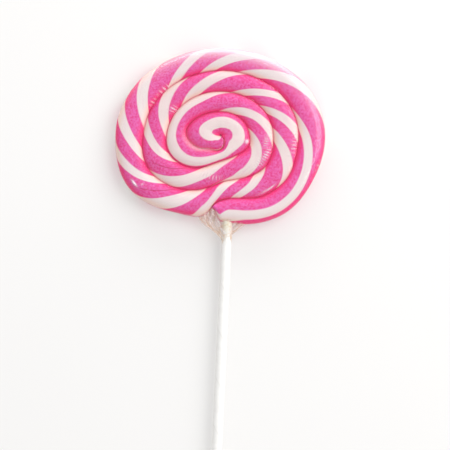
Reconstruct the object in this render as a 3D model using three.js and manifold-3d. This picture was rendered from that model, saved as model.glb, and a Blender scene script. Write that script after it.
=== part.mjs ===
// A swirl lollipop lying on its back: one thick rope of candy coiled into a flat disc,
// a straight stick pushed into the disc's edge, and a clear shrink film drawn tight
// round the candy and gathered round the stick.
//
// Units are millimetres. +Z is the way the candy's face looks and the stick points
// towards -Y. The origin is on the film's flat back, under the centre of the disc.

import * as THREE from 'three';
import { mergeVertices } from 'three/addons/utils/BufferGeometryUtils.js';
import Module from 'manifold-3d';

const wasm = await Module();
wasm.setup();

// Candy disc, an oval that is wider across the stick than along it
const discWidth = 84;
const discLength = 70.4;
const candyThickness = 8;
const pressedBack = 0.88; // the back's flats, as a share of half the thickness
const ropeFullness = 2.6; // 2 is an oval section, more is squarer
const fusedOverlap = 1.18; // how far a turn sinks into its neighbours

// The coil. An angle along the rope is in degrees, runs on from turn to turn from the
// rope's outer end, and is counterclockwise as seen from the face.
const ropeStart = 265;
const ropeEnd = 1730;
const joinsStart = 632; // about here the rope passes inside its own first turn
const joinsWithin = 6;

// Each step is where the rope drops inward to pass inside its last turn. Drops are
// shares of the disc's half width. The edge swells a little before and after a step.
const coilSteps = [
  { at: 623, drop: 0.2, spread: 4, swellsAgain: 51 },
  { at: 974, drop: 0.24, spread: 16, swellsAgain: 68 },
  { at: 1326, drop: 0.23, spread: 19, swellsAgain: 88 },
  { at: 1664, drop: 0.11, spread: 14, swellsAgain: 40 },
  { at: 1735, drop: 0.16, spread: 22, swellsAgain: 60 },
];
const edgeSag = { at: 593, drop: 0.06, spread: 22 }; // the first turn's, before its step
const swellBefore = { rise: 0.07, lead: 45 };
const swellAfter = 0.09;
const swellAtStart = { rise: 0.055, at: 305 };
const dipAtStart = { drop: 0.025, at: 266, within: 12 };
const swellWidth = 23;

// The rope's inner end is a small knob in the middle of the coil.
const knobRadius = 4.6;
const knobHalfHeight = 3.3;

// Mesh steps of the coil
const nearestToAxis = 0.3;
const sectionSides = 12;
const stepLength = 4.5;
const longestStep = 20; // degrees
const pieceAngle = 160; // degrees swept at once, too short for a turn to meet itself
const tongueAngle = 4;
const tongueScale = 0.7;
const roundedEndAngle = 1.5;

// Stick
const stickDiameter = 4;
const stickLength = 142;
const stickInCandy = 26;
const stickOffset = 3.2; // sideways, where it enters the disc's edge
const stickLean = 2.7; // degrees
const stickSides = 24;

// Film
const gap = 0.35;
const filmWall = 0.35;
const filmSteps = 72; // round the disc
const filmFullness = 3;
const tautFrom = 616; // the film runs straight from here to the rope's outer end
const neckInside = 6; // from the disc's edge inward
const neckOutside = 8; // from the disc's edge outward
const neckStart = { left: 10, right: 8, halfHeight: 2.9 };
const neckPleats = 9;
const pleatDepth = 0.35;
const neckRings = 9;
const neckSides = 36;

const halfWidth = discWidth / 2;
const halfLength = discLength / 2;
const midPlane = filmWall + gap + (pressedBack * candyThickness) / 2;
const radians = THREE.MathUtils.degToRad;

const bell = (x) => Math.exp(-x * x);
const rampUp = (x) => 0.5 * (1 + Math.tanh(x));

// Outer edge of the rope, as a share of the disc's half width. One turn further on, the
// same function is the rope's inner edge, because each turn fills the last one.
function outerEdge(angle) {
  let level = 1 - edgeSag.drop * rampUp((angle - edgeSag.at) / edgeSag.spread);
  let swell = 1 + swellAtStart.rise * bell((angle - swellAtStart.at) / swellWidth);
  swell -= dipAtStart.drop * bell((angle - dipAtStart.at) / dipAtStart.within);
  for (const step of coilSteps) {
    const past = angle - step.at;
    level -= step.drop * rampUp(past / step.spread);
    swell += swellBefore.rise * bell((past + swellBefore.lead) / swellWidth);
    swell += swellAfter * bell((past - step.swellsAgain) / swellWidth);
  }
  return level * swell;
}

// The rope's middle and half width at an angle along it, in millimetres, in a round
// coil as wide as the disc.
function ropeAt(angle) {
  const outer = halfWidth * outerEdge(angle);
  const inner = halfWidth * outerEdge(angle + 360);
  return { middle: (outer + inner) / 2, half: (outer - inner) / 2 };
}

// Corner of a rounded box section: across and up run from -1 to 1.
function sectionCorner(side, fullness) {
  const turn = (2 * Math.PI * side) / sectionSides;
  const bulge = (value) => Math.sign(value) * Math.abs(value) ** (2 / fullness);
  return { across: bulge(Math.cos(turn)), up: bulge(Math.sin(turn)) };
}

// Height of a section's corner over the mid-plane, with the back pressed flat.
function cornerHeight(up, grown) {
  const halfHeight = candyThickness / 2;
  return Math.max(up * (halfHeight + grown), -(pressedBack * halfHeight + grown));
}

// A point of the round coil, moved to its place in the oval disc.
function ovalPoint(angle, radius, height) {
  const at = radians(angle);
  const shortened = discLength / discWidth;
  return [radius * Math.cos(at), shortened * radius * Math.sin(at), midPlane + height];
}

// One cross-section of the rope. It sinks into its neighbours on both sides, apart
// from the first turn's outer side, which is the disc's free edge.
function ropeRing(angle) {
  const { middle, half } = ropeAt(angle);
  const outward = 1 + (fusedOverlap - 1) * rampUp((angle - joinsStart) / joinsWithin);
  const ring = [];
  for (let side = 0; side < sectionSides; side++) {
    const { across, up } = sectionCorner(side, ropeFullness);
    const reach = half * (across > 0 ? outward : fusedOverlap);
    const radius = Math.max(middle + across * reach, nearestToAxis);
    ring.push(ovalPoint(angle, radius, cornerHeight(up, 0)));
  }
  return ring;
}

// A smaller cross-section, for the rope's rounded ends and for the ends of a piece
// that are buried in the next pieces.
function tongueRing(angle) {
  const ring = ropeRing(angle);
  const centre = middleOf(ring);
  return ring.map((corner) => corner.map((c, k) => centre[k] + tongueScale * (c - centre[k])));
}

// Angles of the cross-sections, at even steps along the rope's outer edge.
function coilAngles() {
  const angles = [ropeStart];
  while (angles.at(-1) < ropeEnd) {
    const here = angles.at(-1);
    const inward = halfWidth * (outerEdge(here) - outerEdge(here + 1)) / radians(1);
    const step = THREE.MathUtils.radToDeg(stepLength / Math.hypot(ropeAt(here).middle, inward));
    angles.push(Math.min(here + Math.min(step, longestStep), ropeEnd));
  }
  return angles;
}

function middleOf(ring) {
  return [0, 1, 2].map((k) => ring.reduce((sum, corner) => sum + corner[k], 0) / ring.length);
}

// A closed skin over rings of points that all have the same number of points.
function skinOver(rings) {
  const size = rings[0].length;
  const corners = rings.flat();
  const faces = [];
  for (let ring = 0; ring < rings.length - 1; ring++) {
    for (let side = 0; side < size; side++) {
      const a = ring * size + side;
      const b = ring * size + ((side + 1) % size);
      faces.push([a, b + size, b], [a, a + size, b + size]);
    }
  }
  const closeEnd = (ring, facesForward) => {
    const hub = corners.push(middleOf(rings[ring])) - 1;
    for (let side = 0; side < size; side++) {
      const a = ring * size + side;
      const b = ring * size + ((side + 1) % size);
      faces.push(facesForward ? [hub, b, a] : [hub, a, b]);
    }
  };
  closeEnd(0, false);
  closeEnd(rings.length - 1, true);
  const geometry = new THREE.BufferGeometry();
  geometry.setAttribute('position', new THREE.Float32BufferAttribute(corners.flat(), 3));
  geometry.setIndex(faces.flat());
  return geometry;
}

// A three.js geometry as a solid that can be joined and cut.
function solidFrom(geometry) {
  const bare = geometry.clone();
  bare.deleteAttribute('normal');
  bare.deleteAttribute('uv');
  const merged = mergeVertices(bare);
  return new wasm.Manifold(new wasm.Mesh({
    numProp: 3,
    vertProperties: new Float32Array(merged.attributes.position.array),
    triVerts: new Uint32Array(merged.index.array),
  }));
}

// A joined and cut solid as a three.js geometry.
function geometryFrom(solid) {
  const mesh = solid.getMesh();
  const geometry = new THREE.BufferGeometry();
  geometry.setAttribute('position', new THREE.BufferAttribute(mesh.vertProperties, 3));
  geometry.setIndex(new THREE.BufferAttribute(mesh.triVerts, 1));
  geometry.computeVertexNormals();
  return geometry;
}

// The whole coil, swept in pieces that are joined, with the knob in its middle.
function coil() {
  const angles = coilAngles();
  const knob = new THREE.SphereGeometry(1, sectionSides, sectionSides / 2);
  knob.rotateX(Math.PI / 2);
  knob.scale(knobRadius, knobRadius, knobHalfHeight);
  knob.translate(0, 0, midPlane);
  let solid = solidFrom(knob);
  let first = 0;
  while (first < angles.length - 1) {
    let last = first + 1;
    while (last < angles.length - 1 && angles[last] - angles[first] < pieceAngle) {
      last++;
    }
    const rings = angles.slice(first, last + 1).map(ropeRing);
    rings.unshift(tongueRing(angles[first] - (first > 0 ? tongueAngle : roundedEndAngle)));
    rings.push(tongueRing(angles[last] + tongueAngle));
    solid = solid.add(solidFrom(skinOver(rings)));
    first = last;
  }
  return solid;
}

// The film's outline round the disc, from the rope's outer end once round to it.
function filmEdge(angle) {
  const share = THREE.MathUtils.clamp((angle - tautFrom) / (ropeStart + 360 - tautFrom), 0, 1);
  const followed = outerEdge(Math.min(angle, tautFrom));
  return THREE.MathUtils.lerp(followed, outerEdge(ropeStart), share);
}

// The film's bag, taut over face and back and rounded over the edge like the rope.
function bag(grown) {
  const rings = [];
  const edgeSides = (5 * sectionSides) / 12; // from the crest round to the flat back
  for (let side = 0; side <= edgeSides; side++) {
    const { across, up } = sectionCorner(sectionSides / 4 - side, filmFullness);
    const ring = [];
    for (let step = 0; step < filmSteps; step++) {
      const angle = ropeStart + (360 * step) / filmSteps;
      const edge = halfWidth * filmEdge(angle);
      const half = ropeAt(angle).half;
      const radius = edge - half + across * (half + grown);
      ring.push(ovalPoint(angle, radius, cornerHeight(up, grown)));
    }
    rings.push(ring);
  }
  return solidFrom(skinOver(rings));
}

// Places a geometry that was built along Y on the stick's leaning line. Its Y is 0
// where the stick enters the disc's edge.
function alongStick(geometry) {
  geometry.rotateZ(radians(-stickLean));
  geometry.translate(stickOffset, -halfLength, midPlane);
  return geometry;
}

function rod(radius, from, to, sides) {
  const geometry = new THREE.CylinderGeometry(radius, radius, to - from, sides);
  geometry.translate(0, (from + to) / 2, 0);
  return alongStick(geometry);
}

// The film's gathered neck: a flattened funnel that widens from the stick into the
// bag, with pleats that grow as it widens.
function neck(wall, extra) {
  const tipRadius = stickDiameter / 2 + gap + wall;
  const rings = [];
  for (let ring = 0; ring <= neckRings; ring++) {
    const share = ring / neckRings;
    const open = THREE.MathUtils.smootherstep(share, 0, 1);
    const y = THREE.MathUtils.lerp(-neckOutside - extra, neckInside, share);
    const points = [];
    for (let side = 0; side < neckSides; side++) {
      const turn = (2 * Math.PI * side) / neckSides;
      const width = Math.cos(turn) < 0 ? neckStart.left : neckStart.right;
      const pleat = pleatDepth * open * Math.cos(neckPleats * turn);
      const reachX = tipRadius + (width - tipRadius + wall) * open + pleat;
      const reachZ = tipRadius + (neckStart.halfHeight - tipRadius + wall) * open + pleat;
      points.push([reachX * Math.cos(turn), y, reachZ * Math.sin(turn)]);
    }
    rings.push(points);
  }
  return solidFrom(alongStick(skinOver(rings)));
}

function candySolid() {
  const bore = rod(stickDiameter / 2 + gap, -halfLength, stickInCandy + gap, stickSides);
  return coil().subtract(solidFrom(bore));
}

function filmSolid() {
  const outside = bag(gap + filmWall).add(neck(filmWall, 0));
  const inside = bag(gap).add(neck(0, 1));
  return outside.subtract(inside);
}

function piece(name, geometry, look) {
  const mesh = new THREE.Mesh(geometry, new THREE.MeshStandardMaterial(look));
  mesh.name = name;
  return mesh;
}

const lollipop = new THREE.Group();
lollipop.add(piece('candy', geometryFrom(candySolid()), {
  color: 0xf0539f,
  roughness: 0.3,
  metalness: 0,
}));
lollipop.add(piece('stick', rod(
  stickDiameter / 2,
  stickInCandy - stickLength,
  stickInCandy,
  stickSides,
), {
  color: 0xf6f4f0,
  roughness: 0.6,
  metalness: 0,
}));
lollipop.add(piece('wrapper', geometryFrom(filmSolid()), {
  color: 0xffffff,
  roughness: 0.08,
  metalness: 0,
  transparent: true,
  opacity: 0.2,
}));

export default lollipop;
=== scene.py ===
"""Swirl lollipop: a twisted candy rope coiled flat, a paper stick and a clear shrink film.

Lengths are in millimetres where nothing else is said, and millimetres() turns them into metres. An angle
along the rope is in degrees, counterclockwise as the face is seen with the stick down, and runs on from
turn to turn, from the rope's outer end beside the stick to its inner end.
"""

import math

import bpy
import numpy as np
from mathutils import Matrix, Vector


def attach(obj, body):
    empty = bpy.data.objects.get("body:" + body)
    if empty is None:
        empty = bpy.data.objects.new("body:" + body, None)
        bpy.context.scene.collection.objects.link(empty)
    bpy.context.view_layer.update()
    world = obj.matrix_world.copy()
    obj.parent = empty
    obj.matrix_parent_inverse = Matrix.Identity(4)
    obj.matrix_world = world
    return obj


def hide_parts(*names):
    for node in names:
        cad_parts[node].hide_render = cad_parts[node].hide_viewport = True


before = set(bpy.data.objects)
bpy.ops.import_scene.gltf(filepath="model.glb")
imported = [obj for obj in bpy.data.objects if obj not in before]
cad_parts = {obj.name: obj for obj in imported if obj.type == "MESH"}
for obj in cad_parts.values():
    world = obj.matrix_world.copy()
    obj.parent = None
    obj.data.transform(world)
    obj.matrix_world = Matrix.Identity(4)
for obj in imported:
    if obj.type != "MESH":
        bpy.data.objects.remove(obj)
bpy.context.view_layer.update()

bl_info = {
    "name": "Swirl lollipop",
    "version": (1, 0, 0),
    "blender": (4, 5, 0),
    "location": "3D View > Sidebar > Lollipop",
    "description": "Makes a swirl lollipop of coiled striped candy on a paper stick, in clear film",
    "category": "Add Mesh",
}

MM = 0.001
TURN = 360.0

# The coil's outer edge, as a share of the disc's half width, falls in steps of one rope width a turn.
DISC_WIDTH = 84.0
DISC_LENGTH = 70.4
HALF_WIDTH = 0.5 * DISC_WIDTH
MID_PLANE = 4.22
COIL_STEPS = (
    # where the step is, how far it drops, how long it takes, how far past it the rope swells again
    (623.5, 0.2, 4, 51),
    (974, 0.24, 16, 68),
    (1326, 0.23, 19, 88),
    (1664, 0.11, 14, 40),
    (1735, 0.16, 22, 60),
)
# One long slow drop: its middle, how far it drops, how long it takes.
EDGE_SAG = (593.0, 0.06, 22.0)
# Beside each step the rope swells: by what share, and before the step how far from it.
SWELL_WIDTH = 23.0
SWELL_BEFORE = (0.07, 45.0)
SWELL_AFTER = 0.09
SWELLS = (
    # more places where the rope is wider or narrower: where, by what share, how far to each side
    (303, 0.075, 22),
    (270, -0.035, 12),
    (638.5, -0.03, 8),
    (658, 0.022, 7),
    (284, 0.01, 10),
    (882, -0.019, 50),
    (978, 0.035, 10),
    (1020, 0.045, 22),
    (1342, 0.035, 22),
    (1604, 0.17, 38),
)

# The rope.
ROPE_START = 264.0
ROPE_END = 1762.0
JOINS_START = 632.0
JOINS_WITHIN = 6.0
CREST_RISE = 4.08
CREST_FULLNESS = 2.5
CREST_OVERLAP = 1.16
BACK_DROP = 4.1
BACK_FULLNESS = 5.0
BACK_OVERLAP = 1.05
FUSED_BY = 0.012
NEAREST_TO_AXIS = 0.25
LEAST_HALF = 0.5
PAST_END = 20.0
TURNS_TO_LOOK_AT = range(-1, 5)
FINE_ANGLES = 6000
RING_STEP = 0.7
NOSE_RINGS = (0.02, 0.1, 0.26, 0.5, 0.85, 1.25, 1.7)
CREST_COLUMNS = 28
SIDE_COLUMNS = 10
BACK_COLUMNS = 16
ROPE_SHARP_FROM = 48.0
END_LENGTH = 1.7
CUT_LENGTH = 3.9
CUT_BEND = 1.2
STRAND_RELIEF = 0.06
CREST_WAVER = 0.10
WAVER = (
    # sines that make the crest uneven along the rope: heights, waves a turn, no waves along, starts
    (0.5, 3.1, 0, 1.7),
    (0.3, 7.3, 0, 2.9),
    (0.2, 13.7, 0, 0.6),
)
# The groove share paints shade into the grooves and leans to each turn's inner side.
GROOVE_SHADE_LEANS = 0.30
CUT_SLANT_LIMIT = 9.0
# Painted shade in the grooves is weaker on the inner side near the rope's outer end.
START_SHADE_LESS = 0.6
START_SHADE_LESS_REACH = 34.0
# The seam share paints a dark line of shade where two turns meet, on the outer side from SEAM_START on.
SEAM_FROM = 0.86
SEAM_START = 618.0
SEAM_WITHIN = 3.0

# How far the rope has twisted at places along it, in degrees of its own section.
TWIST_STATIONS = (
    (265, -76), (270, -53), (274, -39), (282, -34), (290, -37), (298, -39), (310, -36),
    (322, -29), (337, -19), (350, -3), (362, 18), (371, 40), (384, 62), (396, 86),
    (415, 140), (449, 252), (474.5, 360), (513, 500), (544.5, 612), (571.5, 720), (592, 805),
    (603, 853), (615, 912), (633, 974), (657, 1080), (707.5, 1220), (743, 1332), (775, 1440),
    (826, 1580), (877, 1689), (914.5, 1798), (950, 1898), (965, 1944), (985, 1966), (1003, 1987),
    (1015, 2000), (1027, 2013), (1057, 2059), (1104, 2129), (1127, 2162), (1150, 2195), (1190, 2246),
    (1245, 2261), (1275, 2262), (1302, 2259), (1312, 2264), (1335, 2278), (1404, 2280), (1450, 2272),
    (1500, 2280), (1560, 2288), (1600, 2294), (1650, 2314), (1700, 2330), (1760, 2350),
)
TWIST_BLUR = 9.0
TWIST_SAMPLES = 13
STRIPE_ON_CREST = 104.0
STRIPES = (
    # place round the rope and half width in degrees, where along the rope it starts to show, how softly
    (0, 21.5, 267.2, 0.8),
    (140, 26, 0, 5),
    (252, 24.5, 316, 5),
)
STRIPE_FLARES = (
    # which stripe, where along the rope, how far to each side, and how much wider on both sides
    (0, 265, 20, 17),
    (0, 266, 9, -24),
    (140, 600, 14, 9),
    (252, 610, 8, -22),
    (140, 972, 30, 6),
    (252, 998, 18, -9),
)
STRIPE_SOFT = 3.2
STRIPE_WAVER = 0.055
FLARE_FLAT = 0.2
# Painted shade: the inner turns grow darker between these two places along the rope.
INNER_FROM = (560.0, 760.0)
CREASE_AT = 68.0
CREASE_RUNS = (
    # where along the rope a crease shows, and how far to each side
    (590, 17),
    (946, 24),
)
CREASE_FLAT = 0.6

# The candy's looks. A noise is scale, detail and roughness, a grain its two scales, and any other row the
# two values between which something rises, followed by what it rises from and to.
NOISE_ALONG = 2.2
STRIPE_NOISE = (2.2, 3.0)
STREAK_NOISE = (11.0, 4.0, 0.65)
CANDY_GRAIN = (1400.0, 3300.0)
# Painted shade towards the grooves: the groove share's range, and how much of it the white takes.
GROOVE_SHADE_SPAN = (0.02, 0.29)
WHITE_GROOVE_SHADE = 0.75
SPECKLE = (0.37, 0.63)
PINK_VEINS_IN_WHITE = (0.50, 0.72, 0.0, 0.20)
WHITE_VEINS_IN_PINK = (0.54, 0.76, 0.0, 0.14)
CREASE_LINE = (0.003, 0.013, 1.0, 0.0)
# How much painted shade darkens the pink in the crease.
CREASE_SHADE_DARKENS = 0.85
# Painted shade along the seams, fainter on the white.
SEAM_SHADE_SHOWS = (0.0, 0.75)
SEAM_SHADE_ON_PINK = 0.95
SEAM_SHADE_LOSS_ON_WHITE = -0.55
CANDY_ROUGHNESS = (0.0, 1.0, 0.36, 0.5)

# The stick.
STICK_RADIUS = 2.0
STICK_LENGTH = 142.0
STICK_IN_CANDY = 26.0
STICK_OFFSET = 2.7
STICK_LEAN = 2.7
STICK_SIDES = 72
STICK_ROWS = 90
STICK_ROUNDING = 0.22
STICK_SHARP_FROM = 40.0
PAPER_GRAIN = (420.0, 3600.0)
PAPER_WINDS_IN = 19.0
PAPER_SEAM_LINE = (0.006, 0.03, 1.0, 0.0)
PAPER_SEAM_SHOWS = 0.22
# Painted warm shade on the paper just below the candy: where it fades out, and its strength there and
# beyond.
PAPER_SHADOW_TINT = (STICK_IN_CANDY + 0.5, STICK_IN_CANDY + 4.5, 0.75, 0.0)
PAPER_ROUGHNESS = (0.0, 1.0, 0.5, 0.62)

# The film.
FILM_CLEARANCE = 0.06
FILM_SHARP_FROM = 26.0
FILM_BRIDGES = 0.75
FILM_WALL = 0.04
FILM_BACK = 0.02
HOLE_ROUND_STICK = 0.6
NECK_LEFT = 11.6
NECK_RIGHT = 9.0
NECK_INSIDE = 6.0
NECK_OUTSIDE = 6.6
NECK_HALF_HEIGHT = 3.0
NECK_OFF_STICK = 0.12
NECK_PLEAT_DEPTH = 0.26
NECK_DEPTH_AT_TIP = 0.14
NECK_DEPTH_GROWS = 2.2
NECK_DEPTH_EASES = 0.55
NECK_PLEATS_UNEVEN = 0.25
# The folds are where painted shade darkens the gathered film.
NECK_FOLDS = (-0.15, -0.8)
NECK_FOLDS_UNEVEN = (1.1, 0.6)
NECK_FOLD_LEAST = 0.15
# Painted fold shade and painted sheen show beside the stick: the least, the rise and its power, the loss at
# the very edge and its power.
NECK_BESIDE = (0.08, 0.92, 1.5, 0.85, 14)
# Painted sheen on the gathered film: its base share, and how it grows along the neck.
NECK_SHEEN_BASE = 0.35
NECK_SHEEN_ALONG = (0.6, 0.9)
NECK_HUGS = 0.05
NECK_OPENS_PAST = 0.24
NECK_RIGHT_LATER = 0.20
NECK_FLARES = 1.25
NECK_FLARES_LEFT = 0.2
NECK_PAINTED_SHEEN = 0.42
NECK_ROWS = 44
NECK_SIDES = 360
NECK_SKEW = (
    # sines that shift the pleats sideways: heights, waves round the ring, waves along the neck, starts
    (1.6, 2, 0, 0.6),
    (0.9, 5, 3, 0),
    (1.2, 0, 9, 0),
)
NECK_RAGGED = (
    # sines that make the open end ragged: the same numbers
    (1.1, 3, 0, 0.8),
    (0.5, 11, 0, 0),
    (0.2, 23, 0, 1),
)
NECK_PLEATS = (
    # waves round the ring, how far the skew and the way along shift them, and how much they count in the
    # pleats' height, in the painted fold shade and in the painted sheen
    (17, 1, 1.6, 0.62, 0.9, 0.3),
    (39, -2, -2, 0.38, 0.35, 0.3),
    (59, 3, 0, 0.16, 0.25, 0.4),
)
TAUT_FROM = 616.0
TAUT_TO = 630.0
FILM_COLUMNS = 460
FILM_FACE_ROWS = 84
FILM_BACK_ROWS = 18
FILM_ROW_SPREAD = 0.8
FILM_PULLS = 120
STANDS_OUTWARD = 0.8
WRINKLES_A_TURN = 106.0
WRINKLE_SWAY = (1.1, 9.0)
WRINKLES = (
    # fine rungs: angle round the disc, share of the half width, reach in angle and share, height, painted
    # sheen on their ridges
    (331, 0.487, 9, 0.022, 0.14, 0.75),
    (351, 0.44, 9, 0.018, 0.12, 0.6),
    (350, 0.705, 7.5, 0.022, 0.12, 0.36),
    (318, 0.505, 5, 0.026, 0.08, 0.3),
    (262, 0.488, 9, 0.028, 0.12, 0.3),
    (136, 0.748, 5.5, 0.02, 0.12, 0.42),
    (150, 0.745, 3.5, 0.018, 0.1, 0.3),
    (147, 0.535, 4, 0.03, 0.12, 0.52),
    (217, 0.93, 3, 0.018, 0.1, 0.2),
    (339, 0.985, 4, 0.012, 0.08, 0.2),
)
PULLS = (
    # smooth places where the film is pulled over an edge, whitened by a painted highlight, glint or rim
    # sheen: the same numbers
    (343, 0.258, 4.5, 0.013, 0.16, 0.8),
    (306, 0.764, 5.5, 0.006, 0.1, 0.58),
    (213.8, 0.985, 2.2, 0.009, 0.36, 0.95),
    (78, 1.005, 46, 0.1, 0, 0.54),
)
# The smooth places' painted highlight ends where the film is this share of the crest's height up the rim.
SHEEN_ENDS_AT = 0.45
SHEEN_ENDS_OVER = 0.12
# A painted gleam just outside the innermost groove: its middle along the outer turn and how far it reaches
# to each side in degrees, how far outside the groove and how wide in shares of the half width, and how
# strong it is.
GLEAM = (573.0, 29.0, 0.019, 0.022, 0.21)
FILM_ROUGHNESS = (0.3, 0.7, 0.06, 0.16)
FILM_MIRROR = (0.3, 0.028)
FILM_BUMP = 0.0003
GATHER_BUMP = 0.0006
# The painted sheen on the wrinkles sits on their ridges: the ridges' power, and the share kept between them.
RIDGE_POWER = 3.0
RIDGE_FOOT = 0.08
CRINKLE_NOISE = (260.0, 4.0, 0.6)
FINE_CRINKLE_NOISE = (1100.0, 3.0, 0.6)
# Crumples are thin lines of painted shade on the gathered film.
CRUMPLE_NOISE = (190.0, 3.0, 0.6)
CRUMPLE_SHADE_LINE = (0.004, 0.028, 0.65, 0.0)

# The stage, in metres but for VIEW_MIDDLE, what the camera looks at, which is in millimetres.
VIEW_MIDDLE = (1.8, -35.8, 4.2)
SENSOR_WIDTH = 36.0
FLOOR_REACH = 2.0
FLOOR_NOISE = (9.0, 2.0)
SOFT_LAMP = ((0.50, 0.20, 0.60), 0.6, 0.6)
BACK_STRIP = ((0.1, 0.92, 0.22), 1.6, 0.45)
# The sky is brighter to the right and the front: the darkest grey, and where the rise starts and ends.
SKY_GREY = 0.72
SKY_TO_FRONT = -0.4
SKY_RISE = (-0.9, 0.5)


# ---- shapes

def bell(x):
    """A bump of height 1 that fades on both sides: e to the minus x squared."""
    return np.exp(-np.square(x))


def ramp_up(x):
    """A smooth step from 0 to 1: half of one plus the hyperbolic tangent of x."""
    return 0.5 * (1.0 + np.tanh(x))


def sines(rows, turn, along=0.0):
    """A sum of sines: each row's height times the sine of its waves round times the turn, plus its waves
    along times the share along, plus its start."""
    total = 0.0
    for height, waves_round, waves_along, start in rows:
        total = total + height * np.sin(waves_round * turn + waves_along * along + start)
    return total


def outer_edge(angle):
    """The coil's outer edge as a share of the half width: a level that drops along a smooth ramp at each
    step, times one plus bumps where the rope swells, such as before and after each step."""
    at, drop, spread = EDGE_SAG
    level = 1.0 - drop * ramp_up((angle - at) / spread)
    swell = 1.0
    for at, share, reach in SWELLS:
        swell = swell + share * bell((angle - at) / reach)
    for at, drop, spread, again in COIL_STEPS:
        past = angle - at
        level = level - drop * ramp_up(past / spread)
        swell = swell + SWELL_BEFORE[0] * bell((past + SWELL_BEFORE[1]) / SWELL_WIDTH)
        swell = swell + SWELL_AFTER * bell((past - again) / SWELL_WIDTH)
    return level * swell


def coil_radius(angle):
    """The coil's outer edge at an angle, in millimetres along the disc's width."""
    return HALF_WIDTH * outer_edge(angle)


def oval(angle, radius, height):
    """Points of the disc: the radius along the angle, shortened in y by the disc's length over its width,
    at a height over the mid plane."""
    turn = np.radians(angle)
    x = radius * np.cos(turn)
    y = radius * np.sin(turn) * DISC_LENGTH / DISC_WIDTH
    return np.stack(np.broadcast_arrays(x, y, MID_PLANE + height), axis=-1)


def rounded(turn, fullness):
    """A point of a rounded square: cosine and sine of the turn, each raised to 2 over the fullness."""
    across = np.sign(np.cos(turn)) * np.abs(np.cos(turn)) ** (2.0 / fullness)
    up = np.sign(np.sin(turn)) * np.abs(np.sin(turn)) ** (2.0 / fullness)
    return across, up


def twist_at(angle):
    """How far the rope has twisted at an angle: straight lines between the stations, averaged over
    TWIST_BLUR degrees to both sides so that the stripes bend smoothly."""
    places, values = np.array(TWIST_STATIONS, float).T
    shifts = np.linspace(-TWIST_BLUR, TWIST_BLUR, TWIST_SAMPLES)
    return np.interp(angle[..., None] + shifts, places, values).mean(axis=-1)


def section_turns():
    """The rope section's columns, in degrees round it: even steps over the crest, down the inner side,
    under the back and up the outer side, with a column on each groove."""
    groove = math.degrees(math.acos((1.0 / CREST_OVERLAP) ** (CREST_FULLNESS / 2.0)))
    foot = math.degrees(math.acos((1.0 / BACK_OVERLAP) ** (BACK_FULLNESS / 2.0)))
    parts = (
        np.linspace(groove, 180.0 - groove, CREST_COLUMNS, endpoint=False),
        np.linspace(180.0 - groove, 180.0 + foot, SIDE_COLUMNS, endpoint=False),
        np.linspace(180.0 + foot, TURN - foot, BACK_COLUMNS, endpoint=False),
        np.linspace(TURN - foot, TURN + groove, SIDE_COLUMNS, endpoint=False),
    )
    return np.concatenate(parts)


def crest_rise(angle):
    """Height of the crest over the mid plane: a mean plus sines, slightly uneven as in hand work."""
    return CREST_RISE + CREST_WAVER * sines(WAVER, np.radians(angle))


def skin_turn(side, up):
    """How far round the rope's skin each column lies: the length along the skin from the crest over the
    length all round, times a full turn, plus a quarter turn."""
    step = np.hypot(np.diff(side, axis=1, append=side[:, :1]), np.diff(up, axis=1, append=up[:, :1]))
    run = np.cumsum(step, axis=1) - step
    crest = run[:, CREST_COLUMNS // 2][:, None]
    return 0.25 * TURN + TURN * (run - crest) / step.sum(axis=1, keepdims=True)


def inner_radius(angle):
    """Radius of the rope's inner side: the coil's edge one turn further in, kept off the axis."""
    return np.maximum(coil_radius(angle + TURN), NEAREST_TO_AXIS)


def mid_line(angle):
    """Radius of the rope's middle: the mean of its outer and its inner side."""
    return 0.5 * (coil_radius(angle) + inner_radius(angle))


def cut_slant(angle, side):
    """A cut along the radius is slanting where the rope runs inward: a point beside the mid line belongs to
    a square cut this many degrees further on. That is its distance from the line times the line's slope,
    over the squares of radius and slope."""
    radius = mid_line(angle)
    slope = (mid_line(angle + 0.5) - mid_line(angle - 0.5)) / math.radians(1.0)
    slant = np.degrees(side * slope / (np.square(radius) + np.square(slope)))
    return np.clip(slant, -CUT_SLANT_LIMIT, CUT_SLANT_LIMIT)


def rope_surface(angle, turn):
    """The rope's skin at an angle along it and a turn round its section, which reaches from the coil's edge
    one turn further in to the edge here. It is a rounded square, fuller at the back than at the crest,
    drawn too wide and cut off flat just inside the turn beside it, as turns are fused. Three strands stand
    out by a cosine of three times the phase, which is the place round the skin less the twist."""
    outer = coil_radius(angle)
    inner = inner_radius(angle)
    middle = 0.5 * (outer + inner)
    half = 0.5 * (outer - inner)
    radians = np.radians(turn)
    top = np.sin(radians) >= 0.0
    crest = rounded(radians, CREST_FULLNESS)
    back = rounded(radians, BACK_FULLNESS)
    joined = ramp_up((angle - JOINS_START) / JOINS_WITHIN)
    overlap = np.where(top, CREST_OVERLAP, BACK_OVERLAP)
    overlap = np.where(np.cos(radians) > 0.0, 1.0 + (overlap - 1.0) * joined, overlap)
    limit = 1.0 + FUSED_BY / np.maximum(half, 1.0)
    across = np.where(top, crest[0], back[0]) * overlap
    clipped = np.clip(across, -limit, limit)
    height = np.where(top, crest[1] * crest_rise(angle), back[1] * BACK_DROP)
    phase = skin_turn(half * clipped, height) - twist_at(angle + cut_slant(angle, half * clipped))
    relief = 1.0 + STRAND_RELIEF / CREST_RISE * np.cos(np.radians(3.0 * (phase + CREASE_AT)))
    across = np.clip(across * relief, -limit, limit)
    height = np.where(top, height * relief, height)
    return middle, half, across, height, phase


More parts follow.
